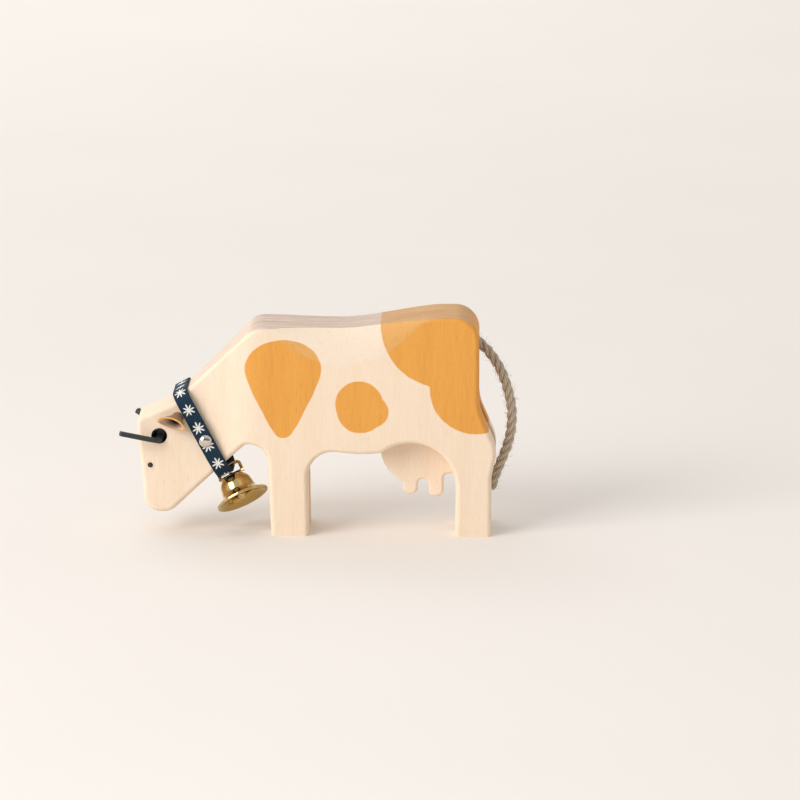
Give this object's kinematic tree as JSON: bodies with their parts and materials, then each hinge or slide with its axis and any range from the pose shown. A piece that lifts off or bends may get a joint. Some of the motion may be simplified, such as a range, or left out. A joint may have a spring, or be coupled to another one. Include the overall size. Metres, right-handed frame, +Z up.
{
  "type": "wooden cow figurine",
  "caption": "Carved wooden cow with its head lowered, leather ears and horns, a rope tail, and a ribbon collar that carries a brass bell with a swinging clapper.",
  "frame": {"origin": "centre of the bounding box, the tail rope left out, on the plane of the soles", "axes": "+X from the head to the tail, +Y to the cow's right side, +Z up"},
  "size_m": [0.1794, 0.0448, 0.1009],
  "materials": {
    "wood": "bare sanded hardwood with ochre stained patches",
    "ear_leather": "tan leather, suede inside",
    "eye_black": "black",
    "horn_leather": "black leather",
    "rope": "grey-brown hemp",
    "ribbon": "woven navy ribbon with white flowers",
    "rivet_metal": "polished nickel",
    "bell_brass": "polished brass",
    "clapper_metal": "plain brass"
  },
  "bodies": {
    "cow": {"body": "wood", "udder": "wood", "left_ear": "ear_leather", "right_ear": "ear_leather", "left_eye": "eye_black", "right_eye": "eye_black", "horn_strap": "horn_leather", "tail_rope": "rope"},
    "collar": {"collar_ribbon": "ribbon", "rivet_cap": "rivet_metal", "rivet_back": "rivet_metal"},
    "bell": {"bell_cup": "bell_brass", "bell_bow": "bell_brass", "bell_pin": "bell_brass"},
    "clapper": {"clapper_wire": "clapper_metal", "clapper_ball": "clapper_metal"}
  },
  "joints": [
    {"name": "collar_swing", "type": "hinge", "parent": "cow", "child": "collar", "pos_m": [-0.05453, 0, 0.06677], "axis": [0, 1, 0], "range_deg": [0, 4]},
    {"name": "bell_sway", "type": "hinge", "parent": "collar", "child": "bell", "pos_m": [-0.03708, 0, 0.02842], "axis": [0.8829, 0, 0.4695], "range_deg": [-5, 55]},
    {"name": "clapper_swing", "type": "hinge", "parent": "bell", "child": "clapper", "pos_m": [-0.03387, -0.00319, 0.02238], "axis": [0.8829, 0, 0.4695], "range_deg": [-63, 13]}
  ]
}
